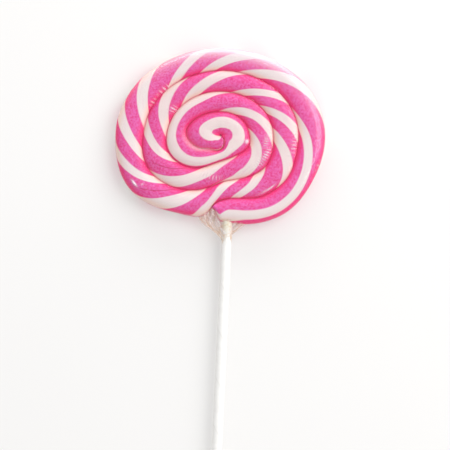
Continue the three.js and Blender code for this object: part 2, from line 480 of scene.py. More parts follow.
def equal_steps(step):
    """Angles along the rope whose mid line points lie a step apart, and its length: lengths are added up
    over fine angles, and the angles at equal lengths are read back."""
    fine = np.linspace(ROPE_START, ROPE_END, FINE_ANGLES)
    middle = 0.5 * (coil_radius(fine) + coil_radius(fine + TURN))
    run = oval(fine, middle, 0.0)
    length = np.concatenate([[0.0], np.cumsum(np.linalg.norm(np.diff(run, axis=0), axis=1))])
    count = int(length[-1] / step) + 1
    return np.interp(np.linspace(0.0, length[-1], count), length, fine), length[-1]


def rope_grid():
    """The whole rope: rings of its section at equal steps. Both ends shrink by a quarter of a rounded
    square to a blunt nose, and the outer end is cut slanting: there a ring's width grows from its inner
    side as a power of the length. Of the two shares for the material, which place painted shade, groove
    rises from crest to groove, more on a turn's inner side and less there near the rope's outer end, and
    seam is 1 only where two turns meet."""
    angles, length = equal_steps(RING_STEP)
    run = np.linspace(0.0, length, len(angles))
    nose = np.array(NOSE_RINGS)
    dense = np.sort(np.concatenate([run[3:-3], nose, length - nose]))
    angles = np.interp(dense, run, angles)
    angle, turn = np.meshgrid(angles, section_turns(), indexing="ij")
    middle, half, across, height, phase = rope_surface(angle, turn)
    to_ends = np.stack([dense, length - dense])[:, :, None]
    open_share = np.clip(1.0 - to_ends / END_LENGTH, 0.0, 1.0)
    size = (1.0 - open_share**CREST_FULLNESS) ** (1.0 / CREST_FULLNESS)
    cut = np.clip(dense / CUT_LENGTH, 0.0, 1.0)[:, None] ** CUT_BEND
    centre = -0.5 * (BACK_DROP - CREST_RISE)
    points = oval(
        angle,
        middle + half * ((across + 1.0) * cut - 1.0) * size[1],
        centre + (height - centre) * size.min(axis=0),
    )
    # Painted shade: the groove share darkens the candy towards the grooves, and the seam share where two
    # turns meet.
    groove = np.clip((1.0 - height / CREST_RISE) * (1.0 - GROOVE_SHADE_LEANS * across), 0.0, 1.0)
    less_shade = 1.0 - START_SHADE_LESS * bell((angle - ROPE_START) / START_SHADE_LESS_REACH)
    groove = groove * np.where(across < 0.0, less_shade, 1.0)
    begun = ramp_up((angle - SEAM_START) / SEAM_WITHIN)
    seam = np.clip((np.abs(across) - SEAM_FROM) / (1.0 - SEAM_FROM), 0.0, 1.0)
    seam = seam * np.where(across > 0.0, begun, 1.0)
    return points, phase, angle, groove, seam


def candy_height(angle, radius):
    """The candy's height over the mid plane at an angle from ROPE_START on and a radius, or nothing outside
    it: for each turn of the rope that lies there, the crest's rounded square solved for height."""
    highest = np.zeros(np.broadcast(angle, radius).shape)
    for turns in TURNS_TO_LOOK_AT:
        here = angle + TURN * turns
        outer = coil_radius(np.maximum(here, ROPE_START))
        inner = inner_radius(here)
        half = np.maximum(0.5 * (outer - inner), LEAST_HALF)
        across = (radius - 0.5 * (outer + inner)) / half
        joined = ramp_up((here - JOINS_START) / JOINS_WITHIN)
        reach = np.where(across > 0.0, 1.0 + (CREST_OVERLAP - 1.0) * joined, CREST_OVERLAP)
        square = np.clip(1.0 - (np.abs(across) / reach) ** CREST_FULLNESS, 0.0, 1.0)
        height = (crest_rise(here) + STRAND_RELIEF) * square ** (1.0 / CREST_FULLNESS)
        there = (here >= ROPE_START) & (here <= ROPE_END + PAST_END) & (np.abs(across) <= 1.0)
        highest = np.maximum(highest, np.where(there, height, 0.0))
    return highest


def film_edge(angle):
    """The film's outline as a share of the half width: the candy's edge, and from TAUT_FROM to TAUT_TO, taut
    across the notch, a straight line to the rope's outer end."""
    share = np.clip((angle - TAUT_FROM) / (TAUT_TO - TAUT_FROM), 0.0, 1.0)
    taut = outer_edge(TAUT_FROM) * (1.0 - share) + outer_edge(TAUT_TO - TURN) * share
    return np.where(angle < TAUT_FROM, outer_edge(angle), taut)


def film_patches(angle, share, patches):
    """How far small patches of the film stand up, and how much painted sheen they carry, at an angle and a
    share of the half width: sums of bumps that fade to all sides."""
    height = np.zeros(np.broadcast(angle, share).shape)
    painted_sheen = height.copy()
    for at, out, reach, width, rise, white in patches:
        away = (angle - at + 0.5 * TURN) % TURN - 0.5 * TURN
        patch = bell(away / reach) * bell((share - out) / width)
        height = height + rise * patch
        painted_sheen = painted_sheen + white * patch
    return height, np.clip(painted_sheen, 0.0, 1.0)


def film_face(angle, edge):
    """The film over the face: rows from the middle out to the edge. It lies on the crests and is drawn part
    of the way across the grooves: the height is raised, again and again, to the mean of its neighbours
    along the radius. Smooth pulls and patches of wrinkles, whose height is a raised cosine of the angle,
    are added. Of the two shares for the material, painted_sheen is painted sheen where the film is
    wrinkled, and pale a painted highlight where it is pulled smooth or gleams along the innermost groove."""
    quarter = np.linspace(0.0, 0.5 * math.pi, FILM_FACE_ROWS)
    share = np.sin(quarter)[None, :] ** FILM_ROW_SPREAD
    radius = edge * share
    candy = candy_height(angle, radius)
    candy[:, 0] = candy[:, :4].max()
    spread = candy.copy()
    for _ in range(FILM_PULLS):
        spread[:, 1:-1] = np.maximum(candy[:, 1:-1], 0.5 * (spread[:, :-2] + spread[:, 2:]))
    face = candy + FILM_BRIDGES * (spread - candy)
    face = 0.25 * (np.roll(face, 1, axis=0) + np.roll(face, -1, axis=0)) + 0.5 * face
    face = np.maximum(face, candy)
    turn = np.radians(angle)
    sway, waves = WRINKLE_SWAY
    rung = 0.5 + 0.5 * np.cos(WRINKLES_A_TURN * turn + sway * np.sin(waves * turn))
    ridges, painted_sheen = film_patches(angle, radius / HALF_WIDTH, WRINKLES)
    pulled, pale = film_patches(angle, radius / HALF_WIDTH, PULLS)
    stands = ridges * rung + pulled
    slope = np.clip(face / CREST_RISE, 0.0, 1.0)
    pale = pale * ramp_up((slope - SHEEN_ENDS_AT) / SHEEN_ENDS_OVER)
    at, reach, beside, width, white = GLEAM
    from_groove = radius / HALF_WIDTH - outer_edge(angle + 3.0 * TURN) - beside
    pale = np.maximum(pale, white * bell((angle - at) / reach) * bell(from_groove / width))
    outward = FILM_CLEARANCE * share + STANDS_OUTWARD * stands * (1.0 - slope)
    return oval(angle, radius + outward, face + FILM_CLEARANCE + stands * slope), painted_sheen, pale


def film_back(angle, edge):
    """The film under the back: rows from just inside the edge to the middle. The rim is a quarter of a
    rounded square as wide as half the outermost turn of the rope, and the rest is flat."""
    quarter = np.linspace(0.5 * math.pi, 0.0, FILM_BACK_ROWS)[1:]
    share = np.sin(quarter)[None, :] ** FILM_ROW_SPREAD
    radius = edge * share
    half = 0.5 * HALF_WIDTH * (film_edge(angle) - outer_edge(angle + TURN))
    across = np.clip((radius - (edge - half)) / half, 0.0, 1.0)
    drop = -(BACK_DROP + FILM_BACK) * (1.0 - across**BACK_FULLNESS) ** (1.0 / BACK_FULLNESS)
    return oval(angle, radius + FILM_CLEARANCE * share, drop)


def film_grid():
    """The film round the disc: rows from the middle of the face over the rim to the middle of the back, and
    the two shares of painted sheen and highlight for the material, which are nothing on the back."""
    angle = (TAUT_TO - TURN + TURN * np.arange(FILM_COLUMNS) / FILM_COLUMNS)[:, None]
    edge = HALF_WIDTH * film_edge(angle)
    face, painted_sheen, pale = film_face(angle, edge)
    rows = np.concatenate([face, film_back(angle, edge)], axis=1)
    clear = np.zeros((FILM_COLUMNS, rows.shape[1] - FILM_FACE_ROWS))
    painted_sheen, pale = (np.concatenate([each, clear], axis=1).T for each in (painted_sheen, pale))
    return np.moveaxis(rows, 1, 0), painted_sheen, pale


def neck_grid():
    """The film gathered round the stick: rings from its ragged open end on the stick to inside the disc's
    edge. They hug the stick, then swell out as a power of a sine, further to the left than to the right.
    Uneven pleats run along them: cosines round the ring, shifted along the neck, deepest where the film is
    half opened. A fold, where painted shade darkens the film, is where the pleats' sum is near its lowest.
    Painted fold shade and painted sheen show most beside the stick."""
    share = np.linspace(0.0, 1.0, NECK_ROWS)[:, None]
    turn = (math.tau * np.arange(NECK_SIDES) / NECK_SIDES)[None, :]
    cosine, sine = np.cos(turn), np.sin(turn)
    hugs = NECK_HUGS + NECK_RIGHT_LATER * (0.5 + 0.5 * cosine)
    at_edge = NECK_OUTSIDE / (NECK_OUTSIDE + NECK_INSIDE)
    grown = np.clip((share - hugs) / (at_edge + NECK_OPENS_PAST - hugs), 0.0, 1.0)
    opened = np.sin(0.5 * math.pi * grown) ** (NECK_FLARES - NECK_FLARES_LEFT * cosine)
    skew = sines(NECK_SKEW, turn, share)
    relief, folded, sheen_wave = 0.0, 0.0, 0.0
    for waves, skewed, shifted, high, dark, white in NECK_PLEATS:
        wave = np.cos(waves * turn + skewed * skew + shifted * share)
        relief, folded, sheen_wave = relief + high * wave, folded + dark * wave, sheen_wave + white * wave
    depth = NECK_DEPTH_AT_TIP + NECK_DEPTH_GROWS * opened * (1.0 - NECK_DEPTH_EASES * opened)
    uneven = 1.0 - NECK_PLEATS_UNEVEN + NECK_PLEATS_UNEVEN * np.sin(3.0 * turn)
    pleat = NECK_PLEAT_DEPTH * depth * relief * uneven
    tip = STICK_RADIUS + NECK_OFF_STICK
    width = np.where(cosine < 0.0, NECK_LEFT, NECK_RIGHT)
    side = (tip + (width - tip) * opened + pleat) * cosine
    up = (tip + (NECK_HALF_HEIGHT - tip) * opened + pleat) * sine
    ragged = sines(NECK_RAGGED, turn)
    out = -NECK_OUTSIDE * (1.0 - share) + NECK_INSIDE * share - ragged * (1.0 - share)
    lean = math.radians(STICK_LEAN)
    x = STICK_OFFSET + math.sin(lean) * out + math.cos(lean) * side
    y = -0.5 * DISC_LENGTH + out
    points = np.stack(np.broadcast_arrays(x, y, MID_PLANE + up), axis=-1)
    lowest, rise, power, edge_loss, edge_power = NECK_BESIDE
    cosine = np.abs(cosine)
    beside = lowest + rise * cosine**power * (1.0 - edge_loss * cosine**edge_power)
    fold = np.clip(NECK_FOLDS[0] + NECK_FOLDS[1] * folded, 0.0, 1.0)
    fold = fold * (NECK_FOLDS_UNEVEN[0] + NECK_FOLDS_UNEVEN[1] * np.sin(4.0 * turn))
    fold = np.clip(fold, 0.0, 1.0) * (NECK_FOLD_LEAST + (1.0 - NECK_FOLD_LEAST) * beside)
    painted_sheen = NECK_PAINTED_SHEEN * np.clip(NECK_SHEEN_BASE + sheen_wave, 0.0, 1.0) * beside
    return points, fold, painted_sheen * (NECK_SHEEN_ALONG[0] + NECK_SHEEN_ALONG[1] * share)


def stick_grid(radius):
    """The stick: rings round a straight axis that leans in the disc's plane. At both ends their radii rise
    from nearly nothing over a small rounding to the full radius."""
    bend = np.linspace(0.0, 0.5 * math.pi, 5)
    cap_radius = np.concatenate([[0.01, 0.5 * radius], radius - STICK_ROUNDING * (1.0 - np.sin(bend))])
    cap_place = np.concatenate([[0.0, 0.0], STICK_ROUNDING * (1.0 - np.cos(bend))])
    body = np.linspace(STICK_ROUNDING, STICK_LENGTH - STICK_ROUNDING, STICK_ROWS)[1:-1]
    place = np.concatenate([cap_place, body, STICK_LENGTH - cap_place[::-1]])
    size = np.concatenate([cap_radius, np.full(len(body), radius), cap_radius[::-1]])[:, None]
    along, turn = np.meshgrid(place, np.arange(STICK_SIDES) / STICK_SIDES, indexing="ij")
    side = size * np.cos(math.tau * turn)
    up = size * np.sin(math.tau * turn)
    lean = math.radians(STICK_LEAN)
    down = along - STICK_IN_CANDY
    x = STICK_OFFSET - math.sin(lean) * down + math.cos(lean) * side
    y = -0.5 * DISC_LENGTH - math.cos(lean) * down - math.sin(lean) * side
    return np.stack([x, y, MID_PLANE + up], axis=-1), turn, along


# ---- meshes

def millimetres(points):
    """Points in millimetres as Blender's metres."""
    return np.asarray(points, float).reshape(-1, 3) * MM


def new_piece(name, points, faces, material, sharp_from):
    """A smooth mesh at the origin, with its place in its points. Its edges are sharp from an angle on."""
    mesh = bpy.data.meshes.new(name)
    mesh.from_pydata(millimetres(points), [], faces)
    mesh.polygons.foreach_set("use_smooth", np.ones(len(mesh.polygons), bool))
    mesh.materials.append(material)
    mesh.update()
    mesh.set_sharp_from_angle(angle=math.radians(sharp_from))
    piece = bpy.data.objects.new(name, mesh)
    bpy.context.scene.collection.objects.link(piece)
    return piece


def grid_faces(rows, columns):
    """Quads of a grid of points, row by row, whose last column joins the first, and for the map each
    corner's row, and its column before wrapping."""
    row, column = np.meshgrid(np.arange(rows - 1), np.arange(columns), indexing="ij")
    rows4 = np.stack([row, row + 1, row + 1, row], axis=-1).reshape(-1, 4)
    columns4 = np.stack([column, column, column + 1, column + 1], axis=-1).reshape(-1, 4)
    return rows4 * columns + columns4 % columns, rows4, columns4


def end_fans(rows, columns):
    """Triangles that close a grid's first and last ring. Each fan has a middle point of its own, and these
    two points come after the grid's."""
    first = np.arange(columns)
    last = first + (rows - 1) * columns
    fans = (
        (np.full(columns, rows * columns), first, np.roll(first, -1)),
        (np.full(columns, rows * columns + 1), np.roll(last, -1), last),
    )
    return np.concatenate([np.stack(each, axis=-1) for each in fans])


def closed(turns):
    """A grid of turns with its first column once more at the end, one turn further on."""
    return np.concatenate([turns, turns[:, :1] + 1.0], axis=1)


def set_map(mesh, name, values):
    """A UV map from one pair of numbers for each face corner."""
    layer = mesh.uv_layers.new(name=name)
    layer.uv.foreach_set("vector", np.asarray(values, np.float32).ravel())


def set_share(mesh, name, values):
    """A number for each point, kept on the mesh for its material."""
    share = mesh.attributes.new(name, "FLOAT", "POINT")
    share.data.foreach_set("value", np.asarray(values, np.float32).ravel())


# ---- material parts

def add(tree, kind, inputs=(), **settings):
    """One shader node: its settings, then its inputs, each a number, a colour, a node's output or a node,
    which stands for its first output."""
    made = tree.nodes.new("ShaderNode" + kind)
    for key, value in settings.items():
        setattr(made, key, value)
    for key, value in dict(inputs).items():
        if isinstance(value, bpy.types.Node):
            value = value.outputs[0]
        if isinstance(value, bpy.types.NodeSocket):
            tree.links.new(value, made.inputs[key])
        else:
            made.inputs[key].default_value = value
    return made


def maths(operation, first, *others):
    """A Math node's output. The first value is a node's output, and the node is made beside that one."""
    inputs = dict(enumerate((first, *others)))
    return add(first.id_data, "Math", inputs, operation=operation).outputs[0]


def span(value, low, high, to_low=0.0, to_high=1.0):
    """A value moved smoothly from one range to another."""
    inputs = {"Value": value, "From Min": low, "From Max": high, "To Min": to_low, "To Max": to_high}
    return add(value.id_data, "MapRange", inputs, interpolation_type="SMOOTHSTEP").outputs[0]


def blend(share, first, second, how="MIX"):
    """Two colours mixed by a share. Each is a node's output or a plain red, green and blue."""
    inputs = {0: share}
    for key, colour in ((6, first), (7, second)):
        inputs[key] = colour if isinstance(colour, bpy.types.NodeSocket) else (*colour, 1.0)
    return add(share.id_data, "Mix", inputs, data_type="RGBA", blend_type=how).outputs[2]


def highest(values):
    """The highest of several values."""
    top, *others = values
    for each in others:
        top = maths("MAXIMUM", top, each)
    return top


def distance(value, middle):
    """How far a value is from a middle one, to either side."""
    return maths("ABSOLUTE", maths("SUBTRACT", value, middle))


def kept_share(tree, name):
    """A number that is kept on the mesh's points."""
    return add(tree, "Attribute", attribute_name=name).outputs["Fac"]


def split(vector):
    """The three numbers of a vector."""
    return add(vector.id_data, "SeparateXYZ", {0: vector}).outputs


def map_parts(tree, name):
    """The two numbers of the mesh's own map."""
    return split(add(tree, "UVMap", uv_map=name).outputs[0])[:2]


def object_place(tree):
    """Object coordinates, in metres."""
    return add(tree, "TexCoord").outputs["Object"]


def noise(vector, scale, detail=2.0, roughness=0.5):
    """A noise between 0 and 1 on a vector."""
    inputs = {"Vector": vector, "Scale": scale, "Detail": detail, "Roughness": roughness}
    return add(vector.id_data, "TexNoise", inputs).outputs[0]


def new_material(name):
    """An empty node material and its tree."""
    material = bpy.data.materials.new(name)
    material.use_nodes = True
    material.node_tree.nodes.clear()
    return material, material.node_tree


def finish_material(material, shader):
    """Makes a shader node the material's surface."""
    add(material.node_tree, "OutputMaterial", {0: shader})
    return material


def grain_group():
    """Fine grain that candy and paper share: a coarse and a fine noise on Object coordinates give a mottle
    for colours and a height for a Bump node."""
    group = bpy.data.node_groups.get("fine_grain")
    if group:
        return group
    group = bpy.data.node_groups.new("fine_grain", "ShaderNodeTree")
    for way, names in (("INPUT", ("Coarse Scale", "Fine Scale")), ("OUTPUT", ("Mottle", "Height"))):
        for name in names:
            group.interface.new_socket(name=name, in_out=way, socket_type="NodeSocketFloat")
    given = group.nodes.new("NodeGroupInput").outputs
    result = group.nodes.new("NodeGroupOutput").inputs
    place = object_place(group)
    coarse = noise(place, given[0], 3.0)
    fine = noise(place, given[1], 2.0)
    group.links.new(span(coarse, 0.3, 0.7), result[0])
    height = maths("ADD", maths("MULTIPLY", coarse, 0.6), maths("MULTIPLY", fine, 0.4))
    group.links.new(height, result[1])
    return group


def grain(tree, coarse, fine):
    """The outputs of the grain group, placed in a material with its own two scales."""
    return add(tree, "Group", {0: coarse, 1: fine}, node_tree=grain_group()).outputs


def from_stripe(place, at):
    """How far round the rope a place is from a stripe's, in turns, by a Ping-Pong node."""
    return maths("PINGPONG", maths("ADD", place, (at - STRIPE_ON_CREST) / TURN), 0.5)


def stripes(place, along):
    """Where the candy is white: the distance from a stripe's place, less its flares, is under its half
    width. A stripe with a start comes in there."""
    found = []
    for at, half, start, soft in STRIPES:
        away = from_stripe(place, at)
        for stripe_at, middle, reach, wider in STRIPE_FLARES:
            if stripe_at == at:
                beside = distance(along, middle / TURN)
                flare = span(beside, FLARE_FLAT * reach / TURN, reach / TURN, wider / TURN, 0.0)
                away = maths("SUBTRACT", away, flare)
        stripe = span(away, (half - STRIPE_SOFT) / TURN, (half + STRIPE_SOFT) / TURN, 1.0, 0.0)
        if start:
            begun = span(along, (start - soft) / TURN, (start + soft) / TURN)
            stripe = maths("MULTIPLY", stripe, begun)
        found.append(stripe)
    return highest(found)


def creases(place, along):
    """Where the fine crease is: a thin line that follows the twist and shows on some runs of the rope."""
    line = span(from_stripe(place, CREASE_AT), *CREASE_LINE)
    shows = [
        span(distance(along, at / TURN), CREASE_FLAT * reach / TURN, reach / TURN, 1.0, 0.0)
        for at, reach in CREASE_RUNS
    ]
    return maths("MULTIPLY", line, highest(shows))


def candy_material(look):
    """Pink candy with white stripes that follow the rope's twist. The map's first number is the turn round
    the twisted rope and its second the angle along it, both in turns. Noise on a ring of both makes the
    stripes waver and draws veins along them. Both colours are darker towards the grooves and seams, the
    pink is darker in the fine crease, and all colours are darker on the inner turns: all of this is painted
    shade."""
    material, tree = new_material("striped candy")
    round_rope, along = map_parts(tree, "twist")
    circle = maths("MULTIPLY", round_rope, math.tau)
    ring = add(tree, "CombineXYZ", {
        0: maths("COSINE", circle),
        1: maths("SINE", circle),
        2: maths("MULTIPLY", along, NOISE_ALONG),
    }).outputs[0]
    uneven = maths("SUBTRACT", noise(ring, *STRIPE_NOISE), 0.5)
    place = maths("ADD", round_rope, maths("MULTIPLY", uneven, STRIPE_WAVER))
    streak = noise(ring, *STREAK_NOISE)
    white = stripes(place, along)
    crease = creases(place, along)
    skin = grain(tree, *CANDY_GRAIN)
    # Painted shade: pink and white darken towards the grooves.
    groove_shade = span(kept_share(tree, "groove"), *GROOVE_SHADE_SPAN)
    pink = blend(span(skin["Height"], *SPECKLE), look.pink_light, look.pink)
    pink = blend(groove_shade, pink, look.pink_groove_shade)
    # Painted shade in the crease, which the bump below also dents.
    pink = blend(maths("MULTIPLY", crease, CREASE_SHADE_DARKENS), pink, look.pink_crease_shade)
    pink = blend(span(streak, *WHITE_VEINS_IN_PINK), pink, look.white)
    pale = blend(span(streak, *PINK_VEINS_IN_WHITE), look.white, look.pink_light)
    pale = blend(maths("MULTIPLY", groove_shade, WHITE_GROOVE_SHADE), pale, look.white_groove_shade)
    colour = blend(white, pink, pale)
    # Painted shade along the seams where two turns meet, fainter on the white.
    faint = maths("MULTIPLY_ADD", white, SEAM_SHADE_LOSS_ON_WHITE, SEAM_SHADE_ON_PINK)
    seam = maths("MULTIPLY", span(kept_share(tree, "seam"), *SEAM_SHADE_SHOWS), faint)
    colour = blend(seam, colour, look.pink_seam_shade)
    # Painted shade: the inner turns are darker.
    inside = span(along, INNER_FROM[0] / TURN, INNER_FROM[1] / TURN)
    colour = blend(inside, colour, look.inner_shade, "MULTIPLY")
    height = maths("SUBTRACT", maths("MULTIPLY", skin["Height"], 0.25), crease)
    height = maths("ADD", height, maths("MULTIPLY", streak, 0.5))
    bump = add(tree, "Bump", {"Strength": 0.35, "Distance": 0.00012, "Height": height})
    shader = add(tree, "BsdfPrincipled", {
        "Base Color": colour,
        "Roughness": span(skin["Mottle"], *CANDY_ROUGHNESS),
        "IOR": 1.45,
        "Specular IOR Level": 0.35,
        "Normal": bump,
    })
    return finish_material(material, shader)


def paper_material(look):
    """Rolled white paper with fine fibres, a faint seam that winds round the stick, and painted warm shade
    just below the candy. The map's first number is the turn round the stick and its second the millimetres
    along it."""
    material, tree = new_material("rolled paper")
    turn, along = map_parts(tree, "wound")
    wound = maths("ADD", turn, maths("DIVIDE", along, PAPER_WINDS_IN))
    seam = span(maths("PINGPONG", wound, 0.5), *PAPER_SEAM_LINE)
    fibre = grain(tree, *PAPER_GRAIN)
    colour = blend(fibre["Mottle"], look.paper, look.paper_shade)
    colour = blend(maths("MULTIPLY", seam, PAPER_SEAM_SHOWS), colour, look.paper_seam)
    # Painted warm shade on the paper just below the candy.
    colour = blend(span(along, *PAPER_SHADOW_TINT), colour, look.paper_shadow_tint)
    height = maths("SUBTRACT", maths("MULTIPLY", fibre["Height"], 0.5), seam)
    bump = add(tree, "Bump", {"Strength": 0.3, "Distance": 0.00008, "Height": height})
    shader = add(tree, "BsdfPrincipled", {
        "Base Color": colour,
        "Roughness": span(fibre["Mottle"], *PAPER_ROUGHNESS),
        "Normal": bump,
    })
    return finish_material(material, shader)


def wrinkle_ridges(place):
    """The film's wrinkles as its mesh has them: a raised cosine of the angle round the disc, to a power."""
    x, y, _ = split(place)
    angle = maths("ARCTAN2", maths("MULTIPLY", y, DISC_WIDTH / DISC_LENGTH), x)
    sway, waves = WRINKLE_SWAY
    sway = maths("MULTIPLY", maths("SINE", maths("MULTIPLY", angle, waves)), sway)
    rung = maths("COSINE", maths("MULTIPLY_ADD", angle, WRINKLES_A_TURN, sway))
    return maths("POWER", maths("MULTIPLY_ADD", rung, 0.5, 0.5), RIDGE_POWER)


def film_material(name, look, gathered):
    """Clear film: it lets through what is behind it, mirrors by the fifth power of how slanting it is seen,
    and is whitened by painted sheen by the share kept on the mesh. Fine crinkles break up its gloss.
    Gathered film has painted shade in its folds and in crumples, lines where a noise is near its middle.
    Over the disc, painted sheen sits on the wrinkles' ridges and painted highlights in smooth pale places."""
    material, tree = new_material(name)
    place = object_place(tree)
    crinkle = noise(place, *CRINKLE_NOISE)
    fine = noise(place, *FINE_CRINKLE_NOISE)
    height = maths("ADD", crinkle, maths("MULTIPLY", fine, 0.3))
    depth = GATHER_BUMP if gathered else FILM_BUMP
    bump = add(tree, "Bump", {"Strength": 0.5, "Distance": depth, "Height": height})
    painted_sheen = kept_share(tree, "painted_sheen")
    if gathered:
        # Gathered film: painted shade in the folds and crumple lines, and painted sheen.
        crumple_shade = distance(noise(place, *CRUMPLE_NOISE), 0.5)
        crumple_shade = span(crumple_shade, *CRUMPLE_SHADE_LINE)
        fold = highest([kept_share(tree, "fold"), crumple_shade])
        tint = blend(fold, look.film, look.film_fold_shade)
        white = look.gather_painted_sheen
    else:
        # Over the disc: painted sheen on the wrinkles' ridges and painted highlights in the pale places.
        ridge = maths("MULTIPLY_ADD", wrinkle_ridges(place), 1.0 - RIDGE_FOOT, RIDGE_FOOT)
        painted_sheen = highest([maths("MULTIPLY", painted_sheen, ridge), kept_share(tree, "pale")])
        tint = (*look.film, 1.0)
        white = look.film_painted_sheen
    clear = add(tree, "BsdfTransparent", {"Color": tint})
    sheen_diffuse = add(tree, "BsdfDiffuse", {"Color": (*white, 1.0)})
    rough = span(crinkle, *FILM_ROUGHNESS)
    gloss = add(tree, "BsdfGlossy", {"Roughness": rough, "Normal": bump})
    slant = add(tree, "LayerWeight", {"Blend": 0.5, "Normal": bump}).outputs["Facing"]
    mirror = maths("MULTIPLY_ADD", maths("POWER", slant, 5.0), *FILM_MIRROR)
    body = add(tree, "MixShader", {0: painted_sheen, 1: clear, 2: sheen_diffuse})
    shader = add(tree, "MixShader", {0: mirror, 1: body, 2: gloss})
    return finish_material(material, shader)


def floor_material(look):
    """A pale floor with a barely visible mottle that glows evenly, as if lit from below, so that shadows are
    soft.
    """
    material, tree = new_material("pale floor")
    mottle = noise(object_place(tree), *FLOOR_NOISE)
    shader = add(tree, "BsdfPrincipled", {
        "Base Color": blend(mottle, look.floor, look.floor_shade),
        "Roughness": 0.9,
        "Emission Color": (1.0, 1.0, 1.0, 1.0),
        "Emission Strength": look.floor_glow,
    })
    return finish_material(material, shader)


# ---- what a user would change

def colour_property(name, description, value):
    """A colour that a user may change."""
    return bpy.props.FloatVectorProperty(
        name=name, description=description, default=value, size=3, min=0.0, max=1.0, subtype="COLOR"
    )


def number_property(name, description, value, **rest):
    """A number from zero up that a user may change."""
    return bpy.props.FloatProperty(name=name, description=description, default=value, min=0.0, **rest)


def length_property(name, description, value):
    """A length that a user may change, given in millimetres and kept in metres."""
    return number_property(name, description, value * MM, unit="LENGTH", subtype="DISTANCE")


class LollipopCandy(bpy.types.PropertyGroup):
    """Colours of the candy rope."""

    pink: colour_property("Pink", "Pink of the crests", (0.735, 0.021, 0.215))
    pink_light: colour_property("Light pink", "Lighter mottle in the pink", (0.768, 0.126, 0.45))
    # Painted shade: the pink near the grooves.
    pink_groove_shade: colour_property("Deep pink", "Pink near the grooves", (0.86, 0.006, 0.18))
    # Painted shade where two turns of the rope meet.
    pink_seam_shade: colour_property("Seam", "Where two turns of the rope meet", (0.78, 0.012, 0.17))
    inner_shade: colour_property("Inner shade", "Multiplies the inner turns' colours", (0.975, 0.93, 0.925))
    # Painted shade in the fine crease.
    pink_crease_shade: colour_property("Crease", "Fine crease that follows the twist", (0.55, 0.02, 0.12))
    white: colour_property("White", "White of the stripes", (0.79, 0.69, 0.68))
    # Painted shade: the white near the grooves.
    white_groove_shade: colour_property("Shaded white", "White near the grooves", (0.90, 0.62, 0.52))


class LollipopStick(bpy.types.PropertyGroup):
    """Size and colours of the paper stick."""

    radius: length_property("Radius", "Half the stick's thickness", STICK_RADIUS)
    paper: colour_property("Paper", "White of the paper", (0.87, 0.86, 0.84))
    paper_shade: colour_property("Paper shade", "Shaded mottle of the paper", (0.83, 0.82, 0.80))
    paper_seam: colour_property("Seam", "Edge of the wound paper", (0.62, 0.60, 0.56))
    # Painted warm shade on the paper just below the candy.
    paper_shadow_tint: colour_property("Stained paper", "Paper beside the candy", (0.90, 0.89, 0.72))


class LollipopFilm(bpy.types.PropertyGroup):
    """Thickness and colours of the clear film."""

    wall: length_property("Wall", "Thickness of the film", FILM_WALL)
    film: colour_property("Film", "Light that the film lets through", (0.995, 0.995, 0.995))
    # Painted shade in the gathered film's folds and crumples.
    film_fold_shade: colour_property("Folds", "Light that gathered film lets through", (0.93, 0.84, 0.73))
    # Painted sheen and highlights on the film over the disc.
    film_painted_sheen: colour_property("Haze", "White of stretched and wrinkled film", (0.93, 0.84, 0.90))
    # Painted sheen on the gathered film, pink-beige from the candy.
    gather_painted_sheen: colour_property("Gather haze", "White of the gathered film", (0.99, 0.84, 0.78))


class LollipopStage(bpy.types.PropertyGroup):
    """Floor, light and camera."""

    floor: colour_property("Floor", "Pale floor", (0.57, 0.562, 0.553))
    floor_shade: colour_property("Floor shade", "Its mottle", (0.56, 0.552, 0.543))
    floor_glow: number_property("Floor glow", "Light from under the translucent floor", 0.29)
    elevation: number_property(
        "Elevation", "How far over the floor the camera looks from", math.radians(87.0),
        max=math.radians(90.0), unit="ROTATION", subtype="ANGLE",
    )
    distance: length_property("Distance", "From the camera to what it looks at", 700.0)
    view_width: length_property("View width", "Width of the view at the object", 180.0)
    sky: number_property("Sky", "Strength of the light all round", 0.84)
    lamp: number_property("Lamp", "Power of the large soft lamp", 3.4, unit="POWER")
    strip: number_property("Strip", "Power of the low strip behind, for the rim's sheen", 10.0, unit="POWER")


# ---- operators

class LOLLIPOP_OT_candy(bpy.types.Operator):
    """Make the coiled candy rope with its twisted stripes"""

    bl_idname = "lollipop.candy"
    bl_label = "Candy rope"

    def execute(self, context):
        points, phase, angle, groove, seam = rope_grid()
        rows, columns = phase.shape
        faces, rows4, columns4 = grid_faces(rows, columns)
        around = closed(phase / TURN)
        along = angle[:, 0] / TURN
        layer = np.stack([around[rows4, columns4], along[rows4]], axis=-1)
        start = np.stack([around[0, :-1], around[0, :-1], around[0, 1:]], axis=-1)
        end = np.stack([around[-1, :-1], around[-1, 1:], around[-1, :-1]], axis=-1)
        fans = np.concatenate([start.ravel(), end.ravel()])
        fans = np.stack([fans, np.repeat([along[0], along[-1]], 3 * columns)], axis=-1)
        # The last two points are the middles of the two ends.
        points = np.concatenate([points.reshape(-1, 3), points[[0, -1]].mean(axis=1)])
        faces = faces.tolist() + end_fans(rows, columns).tolist()
        material = candy_material(context.scene.lollipop_candy)
        piece = new_piece("candy_rope", points, faces, material, ROPE_SHARP_FROM)
        set_map(piece.data, "twist", np.concatenate([layer.reshape(-1, 2), fans]))
        set_share(piece.data, "groove", np.append(groove, [0.5, 1.0]))
        set_share(piece.data, "seam", np.append(seam, [0.0, 1.0]))
        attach(piece, "root")
        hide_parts("candy")
        return {"FINISHED"}


